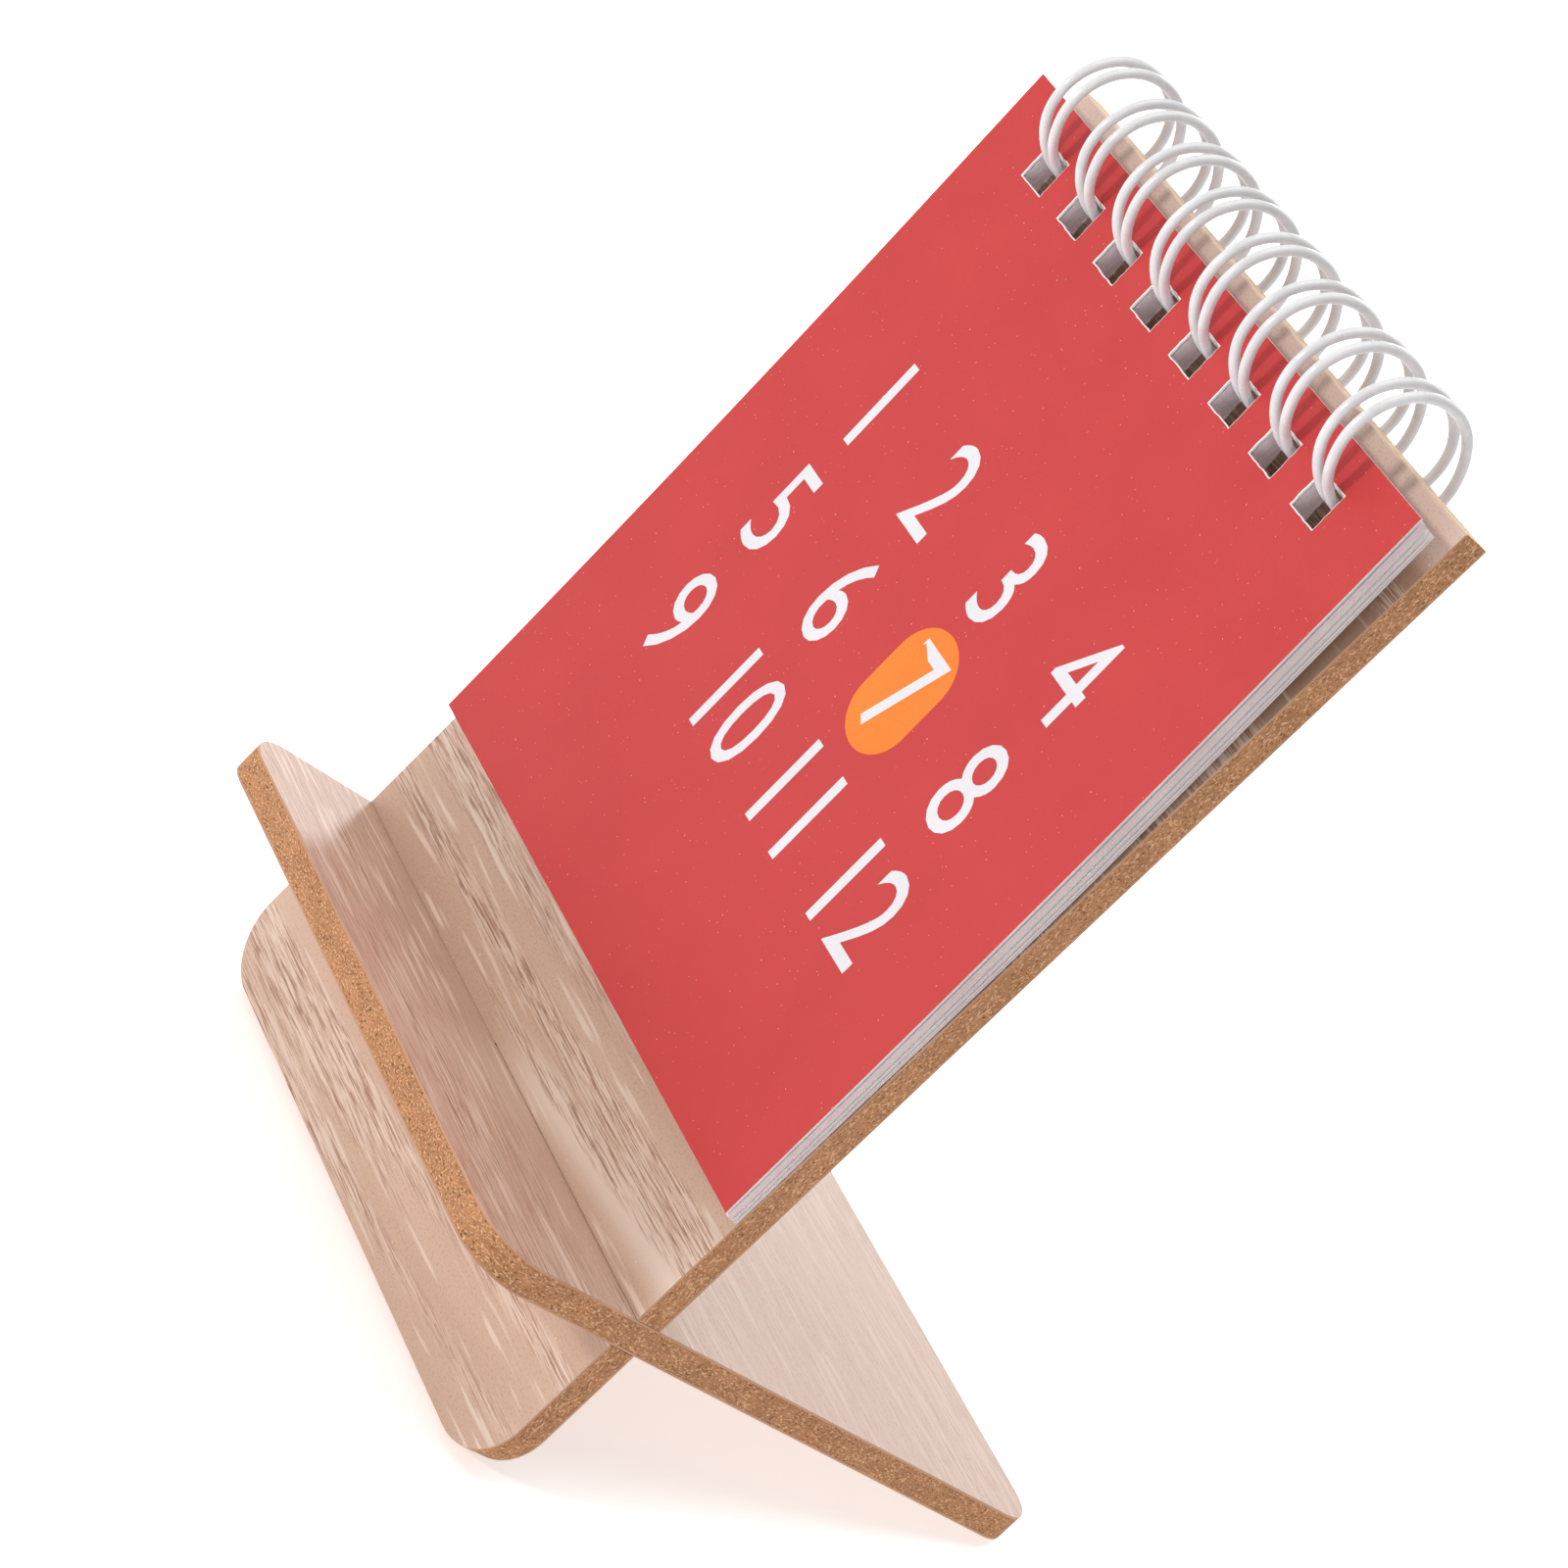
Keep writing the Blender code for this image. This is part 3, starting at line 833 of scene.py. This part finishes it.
# %% Sheet finishes
BARE_CARD = (0.78, 0.42, 0.38)
PINHOLE_SHARE = 0.55
PINHOLE_SIZES = ((1600.0, 0.085), (700.0, 0.05))


def make_paper_felt():
    group, given = new_group("paper_felt", {"Per Metre": 3000.0})
    sized = resized(group, given["Place"], given["Per Metre"])
    return give_out(group, {"Felt": noise(group, sized, (1.0, 1.0, 1.0), detail=3.0, roughness=0.65),
                            "Cloud": noise(group, sized, (0.03, 0.03, 0.03), detail=2.0)})


PAPER_FELT = make_paper_felt()


def sheet_finish(name, low, high, roughness, felt_deep, pinholes=0.0):
    """Paper between two close colours, with the felt as bump and, on a print, pale pinholes."""
    finish, tree, shader, spot = new_finish(name, roughness)
    felt = use_group(tree, PAPER_FELT, {"Place": spot})
    blend = maths(tree, "ADD", times(tree, felt["Felt"], 0.5), times(tree, felt["Cloud"], 0.5))
    colour = mix_colour(tree, ramp(tree, blend, 0.35, 0.65), low, high)
    if pinholes:
        for per_metre, radius in PINHOLE_SIZES:
            spots = use_group(tree, SPECKS, {"Place": spot, "Per Metre": per_metre, "Share": pinholes,
                                             "Radius": radius})
            colour = mix_colour(tree, spots["Spot"], colour, BARE_CARD)
    dullness = ramp(tree, felt["Felt"], 0.3, 0.7, roughness - 0.06, roughness + 0.06)
    feed(tree, shader, {"Base Color": colour, "Roughness": dullness})
    bump(tree, shader, felt["Felt"], felt_deep)
    return finish


RED_PRINT = sheet_finish("red_print", (0.478, 0.023, 0.022), (0.515, 0.028, 0.027), 0.55, 0.012 * MM,
                         PINHOLE_SHARE)
CARD_EDGE = sheet_finish("card_edge", (0.64, 0.54, 0.54), (0.74, 0.64, 0.64), 0.75, 0.03 * MM)
WHITE_PAPER = sheet_finish("white_paper", (0.80, 0.79, 0.77), (0.86, 0.85, 0.84), 0.7, 0.01 * MM)
PAPER_EDGE = sheet_finish("paper_edge", (0.61, 0.475, 0.475), (0.71, 0.575, 0.575), 0.8, 0.02 * MM)
# Painted light: the leaves' hole walls, which lie in shade, are painted paler than the pad's outer edge and
# pinkish.
PUNCHED_PAPER_PAINTED_LIGHT = sheet_finish("punched_paper_painted_light", (0.84, 0.70, 0.72), (0.92, 0.79, 0.81), 0.6, 0.02 * MM)
TORN_CARD = sheet_finish("torn_card", (0.88, 0.85, 0.85), (0.94, 0.92, 0.92), 0.75, 0.02 * MM)
for finish in (RED_PRINT, CARD_EDGE, WHITE_PAPER, PAPER_EDGE, PUNCHED_PAPER_PAINTED_LIGHT, TORN_CARD):
    print("made", finish.name)

# %% [markdown]
# ## The punched sheets
# A sheet is a panel with eight square holes. A punch leaves a slightly torn rim, so the edges of each hole
# are subdivided, every new point is moved by a few hundredths of a millimetre, and the rear rim is pulled
# back into a small burr. A bump pattern could only darken the rim, while this makes its outline ragged.

# %% Punched sheet
SHEET_HOLE_MARGIN = 4.0 * MM
SHEET_ROWS = 14
HOLE_RIM_CUTS = 7
LEFT_INSET = 0.15 * MM
EDGE_INSET = 0.05 * MM


def off_edges(spot, low, high):
    """Whether a place is well inside the sheet's outline, as the rims of its holes are."""
    return abs(spot.x) < high.x - MM and low.y + MM < spot.y < high.y - MM


def punched_sheet(node, seed, ragged, fuller=0.0, set_back=0.0, burr=0.0):
    """A sheet drawn flat in the pad's directions, at the CAD node's place. Its right edge can be set back."""
    low, high = node_box(node, PAD)
    low.x += LEFT_INSET
    low.z -= fuller
    high.x = back_high.x - EDGE_INSET - set_back
    punch_top = high.y - SHEET_HOLE_MARGIN
    windows = [(x - HOLE_SIZE / 2, punch_top - HOLE_SIZE, x + HOLE_SIZE / 2, punch_top) for x in HOLE_X]
    reach = punch_top - HOLE_SIZE - low.y
    rows = [low.y + reach * row / SHEET_ROWS for row in range(1, SHEET_ROWS)]
    bm = cut_panel(low, high, (), 0, windows, rows)
    rims = [edge for edge in bm.edges
            if edge.is_boundary and all(off_edges(vert.co, low, high) for vert in edge.verts)]
    made = bmesh.ops.subdivide_edges(bm, edges=rims, cuts=HOLE_RIM_CUTS)
    tear = random.Random(seed)
    for item in made["geom_inner"]:
        if isinstance(item, bmesh.types.BMVert):
            item.co += Vector((tear.uniform(-ragged, ragged), tear.uniform(-ragged, ragged), 0))
    thicken(bm, low.z, high.z)
    # The walls of the holes take finish 2: painted light on the leaves, the torn finish on the cover.
    for face in bm.faces:
        if face.material_index == 1 and off_edges(face.calc_center_median(), low, high):
            face.material_index = 2
    for vert in {vert for face in bm.faces if face.material_index == 2 for vert in face.verts}:
        if vert.co.z < (low.z + high.z) / 2:
            vert.co.z -= burr
    return bm, low, high


print("a sheet can bend at", SHEET_ROWS - 1, "lines below its holes")

# %% [markdown]
# ## The bow and the fan
# On its ring the pad is neither flat nor tight: it bows towards the board, the sheets touch at the bottom,
# and higher up they part into a few loose bundles. A cloth simulation could find such a form, but one
# function of the height moves every sheet and its print alike, so that no sheet can cut through its
# neighbour.

# %% Bow and fan
BUNDLE_STARTS = (1, 7, 10, 12)
SHEET_GAP = 0.02 * MM
LEAF_FULLER = 0.03 * MM
TOP_GAP_IN_BUNDLE = 0.03 * MM
TOP_GAP_BETWEEN = 0.15 * MM
LOW_GAP_IN_BUNDLE = 0.004 * MM
LOW_GAP_BETWEEN = 0.02 * MM
FANNED_FROM = 0.55
FORWARD = 0.15 * MM
BOW = 0.46 * MM


def bend(bm, index, low, high):
    """Moves a sheet, or a print on it, from the CAD's even spacing to its place in the bowed pad."""
    top_back = low_back = FORWARD + index * SHEET_GAP
    for sheet in range(1, index + 1):
        fuller = LEAF_FULLER if sheet > 1 else 0.0
        top_back -= fuller + (TOP_GAP_BETWEEN if sheet in BUNDLE_STARTS else TOP_GAP_IN_BUNDLE)
        low_back -= fuller + (LOW_GAP_BETWEEN if sheet in BUNDLE_STARTS else LOW_GAP_IN_BUNDLE)
    for vert in bm.verts:
        rise = (vert.co.y - low.y) / (high.y - low.y)
        step = min(max(rise / FANNED_FROM, 0.0), 1.0)
        fanned = step * step * (3 - 2 * step)
        vert.co.z += low_back + (top_back - low_back) * fanned - BOW * math.sin(math.pi * rise)


print("the pad bows by", round(BOW / MM, 2), "mm and has", len(BUNDLE_STARTS), "bundles")

# %% [markdown]
# ## The pad
# The cover is red on its face alone. Its back and its cut edge are bare card, and round each hole the punch
# has pulled the ink away, so a narrow bevel there gets the torn finish. The twelve leaves are the same kind
# of sheet in paper. A bundle's first leaf ends a little short on the right, so that the bundles can be told
# apart, and the last leaf is torn most. One sheet copied twelve times would be lighter, but no two sheets are
# torn alike.

# %% Cover
RAGGED = 0.05 * MM
BARE_RIM = 0.11 * MM
COVER_SEED = 3
cover_shape, cover_low, cover_high = punched_sheet("cover", COVER_SEED, RAGGED)
for face in cover_shape.faces:
    if face.normal.z < -0.5:
        face.material_index = 1
ease_rim(cover_shape, cover_high.z, BARE_RIM, lambda spot: off_edges(spot, cover_low, cover_high), 2)
bend(cover_shape, 0, cover_low, cover_high)
settle("cover_card", cover_shape, PAD, "cover", (RED_PRINT, CARD_EDGE, TORN_CARD), ["cover"])

# %% Leaves
LEAF_COUNT = 12
LEAF_SEED = 20
LEAF_RAGGED = 0.2 * RAGGED
LAST_RAGGED = 2.4 * RAGGED
SET_BACK = 0.6 * MM
BURR_IN_BUNDLE = 0.022 * MM
BURR_BETWEEN = 0.12 * MM

leaf_boxes = []
for leaf in range(1, LEAF_COUNT + 1):
    node = f"month_leaf_{leaf:02d}"
    ragged = LAST_RAGGED if leaf == LEAF_COUNT else LEAF_RAGGED
    set_back = SET_BACK if leaf in BUNDLE_STARTS[:-1] else 0.0
    burr = BURR_BETWEEN if leaf + 1 in BUNDLE_STARTS else BURR_IN_BUNDLE
    leaf_shape, leaf_low, leaf_high = punched_sheet(node, LEAF_SEED + leaf, ragged, LEAF_FULLER, set_back, burr)
    bend(leaf_shape, leaf, leaf_low, leaf_high)
    leaf_boxes.append((leaf_low, leaf_high))
    settle(f"leaf_{leaf:02d}_paper", leaf_shape, PAD, f"leaf_{leaf:02d}",
           (WHITE_PAPER, PAPER_EDGE, PUNCHED_PAPER_PAINTED_LIGHT), [node])

# %% [markdown]
# ## Printed numbers
# The cover carries the twelve months as plain numbers, white on red, with an orange pill behind one of them.
# Each leaf carries its month and its days. Numbers are text curves made into thin solids: the mesh of each
# number is made once and copied to wherever it stands. All the numbers of one sheet and one ink become one
# piece, because they are one print.

# %% Number helpers
INK_SUNK = 0.02 * MM
INK_PROUD = 0.012 * MM
INK_FELT = 0.01 * MM
CURVE_STEPS = 4
number_shapes = {}


def number_mesh(number):
    """A number one unit tall in the xy plane, centred, and one unit thick."""
    if number not in number_shapes:
        text = bpy.data.curves.new("number", "FONT")
        text.body = str(number)
        text.align_x = text.align_y = "CENTER"
        text.resolution_u = CURVE_STEPS
        text.extrude = 0.5
        mesh = curve_mesh(text)
        heights = [vert.co.y for vert in mesh.vertices]
        tall = max(heights) - min(heights)
        middle = (max(heights) + min(heights)) / 2
        mesh.transform(Matrix.Diagonal((1 / tall, 1 / tall, 1, 1)) @ Matrix.Translation((0, -middle, 0)))
        number_shapes[number] = mesh
    return number_shapes[number]


def print_numbers(entries, face_z, squeeze):
    """One bmesh of (number, x, y, height) entries, sunk a little into a sheet's face."""
    bm = bmesh.new()
    for number, x, y, height in entries:
        copy = number_mesh(number).copy()
        size = Matrix.Diagonal((height * squeeze, height, INK_SUNK + INK_PROUD, 1))
        copy.transform(Matrix.Translation((x, y, face_z + (INK_PROUD - INK_SUNK) / 2)) @ size)
        bm.from_mesh(copy)
        bpy.data.meshes.remove(copy)
    bmesh.ops.remove_doubles(bm, verts=bm.verts[:], dist=1e-7)
    for face in bm.faces:
        face.material_index = 0
    return bm


WHITE_INK = sheet_finish("white_ink", (0.67, 0.65, 0.68), (0.72, 0.70, 0.73), 0.5, INK_FELT)
ORANGE_INK = sheet_finish("orange_ink", (0.93, 0.175, 0.003), (1.0, 0.205, 0.006), 0.5, INK_FELT)
GREY_INK = sheet_finish("grey_ink", (0.10, 0.10, 0.11), (0.14, 0.14, 0.15), 0.6, INK_FELT)
RED_INK = sheet_finish("red_ink", (0.54, 0.06, 0.065), (0.60, 0.075, 0.08), 0.55, INK_FELT)
print("made the inks")

# %% [markdown]
# ### The cover's print
# The months stand in three rows of four. The pill is a panel with its corners rounded to half its width. It
# stands out less than the number that lies on it, so the inks cannot fight.

# %% Cover print
GRID_COLUMNS = 4
GRID_PITCH_X = 15.6 * MM
GRID_PITCH_Y = 15.0 * MM
GRID_DROP = 49.0 * MM
MONTH_TALL = 10.6 * MM
MONTH_SQUEEZE = 0.78
PILL_WIDE = 9.4 * MM
PILL_TALL = 14.6 * MM
PILL_ROUND = 0.499 * PILL_WIDE
PILL_MONTH = 7

month_entries = []
for month in range(1, LEAF_COUNT + 1):
    row, column = divmod(month - 1, GRID_COLUMNS)
    x = (column - (GRID_COLUMNS - 1) / 2) * GRID_PITCH_X
    y = cover_high.y - GRID_DROP + (1 - row) * GRID_PITCH_Y
    month_entries.append((month, x, y, MONTH_TALL))
    if month == PILL_MONTH:
        pill_spot = Vector((x, y))
months = print_numbers(month_entries, cover_high.z, MONTH_SQUEEZE)
bend(months, 0, cover_low, cover_high)
settle("cover_month_numbers", months, PAD, "cover", (WHITE_INK,), [])

half_pill = Vector((PILL_WIDE / 2, PILL_TALL / 2))
pill = cut_panel(pill_spot - half_pill, pill_spot + half_pill, ALL_CORNERS, PILL_ROUND, [])
thicken(pill, cover_high.z - INK_SUNK, cover_high.z + INK_PROUD / 2)
bend(pill, 0, cover_low, cover_high)
settle("cover_orange_pill", pill, PAD, "cover", (ORANGE_INK, ORANGE_INK), [])

# %% [markdown]
# ### The leaves' print
# Each leaf has its month at its head and its days in weeks of seven columns. The month and the last day of
# each week are red and the rest is grey, so every leaf has two prints. A month starts in the column after the
# last day of the month before it.

# %% Leaf prints
MONTH_DAYS = (31, 28, 31, 30, 31, 30, 31, 31, 30, 31, 30, 31)
DAY_PITCH_X = 10.2 * MM
DAY_PITCH_Y = 10.0 * MM
DAY_TALL = 3.6 * MM
DAY_DROP = 34.0 * MM
HEAD_TALL = 8.0 * MM
HEAD_DROP = 19.0 * MM
DAY_SQUEEZE = 0.9
WEEK = 7

first_column = 0
for leaf, (leaf_low, leaf_high) in enumerate(leaf_boxes, start=1):
    head = [(leaf, -(WEEK // 2) * DAY_PITCH_X, leaf_high.y - HEAD_DROP, HEAD_TALL)]
    days = []
    rest_days = []
    for day in range(1, MONTH_DAYS[leaf - 1] + 1):
        row, column = divmod(first_column + day - 1, WEEK)
        across = (column - WEEK // 2) * DAY_PITCH_X
        entry = (day, across, leaf_high.y - DAY_DROP - row * DAY_PITCH_Y, DAY_TALL)
        (rest_days if column == WEEK - 1 else days).append(entry)
    first_column = (first_column + MONTH_DAYS[leaf - 1]) % WEEK
    body = f"leaf_{leaf:02d}"
    for part, entries, ink in (("days", days, GREY_INK), ("month", head + rest_days, RED_INK)):
        print_shape = print_numbers(entries, leaf_high.z, DAY_SQUEEZE)
        bend(print_shape, leaf, leaf_low, leaf_high)
        settle(f"{body}_{part}", print_shape, PAD, body, (ink,), [])

# %% [markdown]
# ## Floor and light
# The calendar stands on a plain white floor that fills the view and glows faintly, like a light table, so
# that only a soft shadow is left on it. One lamp from behind on the left brightens the leg and throws the
# board's shadow over the lip. A small lamp far out in front draws the loops' narrow shadows on the cover.
# Wide panels behind and overhead and a surround that is brighter on the left fill the rest. One large lamp
# would be simpler, but it would wash out these shadows, which show how far the wire stands off the card.

# %% Floor
FLOOR_HALF = 3.0
FLOOR_GLOW = 0.48
FLOOR_SHADE = 0.90
WHITE = (1.0, 1.0, 1.0, 1.0)
floor_shape = bmesh.new()
bmesh.ops.create_grid(floor_shape, x_segments=1, y_segments=1, size=FLOOR_HALF)
floor_finish, floor_tree, floor_shader, _ = new_finish("pale_floor", 0.9)
feed(floor_tree, floor_shader, {"Base Color": (FLOOR_SHADE, FLOOR_SHADE, FLOOR_SHADE, 1.0),
                                "Emission Color": WHITE, "Emission Strength": FLOOR_GLOW})
floor = add_object("floor", floor_shape, (floor_finish,))
print("the floor is", 2 * FLOOR_HALF, "m wide")

# %% Lamps
LIT_SPOT = Vector((0.0, 0.0, 0.06))
LAMPS = {"back_left_light": ((-0.70, 0.71, 0.36), 0.12, 1.5),
         "rear_panel": ((-0.2, 0.9, 0.7), 0.6, 1.9),
         "front_key": ((-0.02, -0.95, 0.45), 0.11, 3.35),
         "top_panel": ((0.0, 0.0, 1.3), 1.2, 8.0)}

for name, (position, size, watts) in LAMPS.items():
    data = bpy.data.lights.new(name, "AREA")
    data.shape = "DISK"
    data.size = size
    data.energy = watts
    lamp = bpy.data.objects.new(name, data)
    aim = (Vector(position) - LIT_SPOT).to_track_quat("Z", "Y").to_matrix().to_4x4()
    lamp.matrix_world = Matrix.Translation(Vector(position)) @ aim
    bpy.context.scene.collection.objects.link(lamp)
    print(name, "gives", watts, "W")

# %% Surround
SURROUND_LEFT = 0.80
SURROUND_RIGHT = 0.26
world = bpy.data.worlds.new("surround")
world.use_nodes = True
world_tree = world.node_tree
background = world_tree.nodes["Background"]
heading = add_node(world_tree, "ShaderNodeSeparateXYZ",
                   {0: add_node(world_tree, "ShaderNodeTexCoord").outputs["Generated"]})
strength = add_node(world_tree, "ShaderNodeMapRange",
                    {"Value": heading.outputs["X"], "From Min": -1.0, "From Max": 1.0,
                     "To Min": SURROUND_LEFT, "To Max": SURROUND_RIGHT})
feed(world_tree, background, {"Strength": strength.outputs["Result"], "Color": WHITE})
bpy.context.scene.world = world
print("the surround is", SURROUND_LEFT, "on the left and", SURROUND_RIGHT, "on the right")
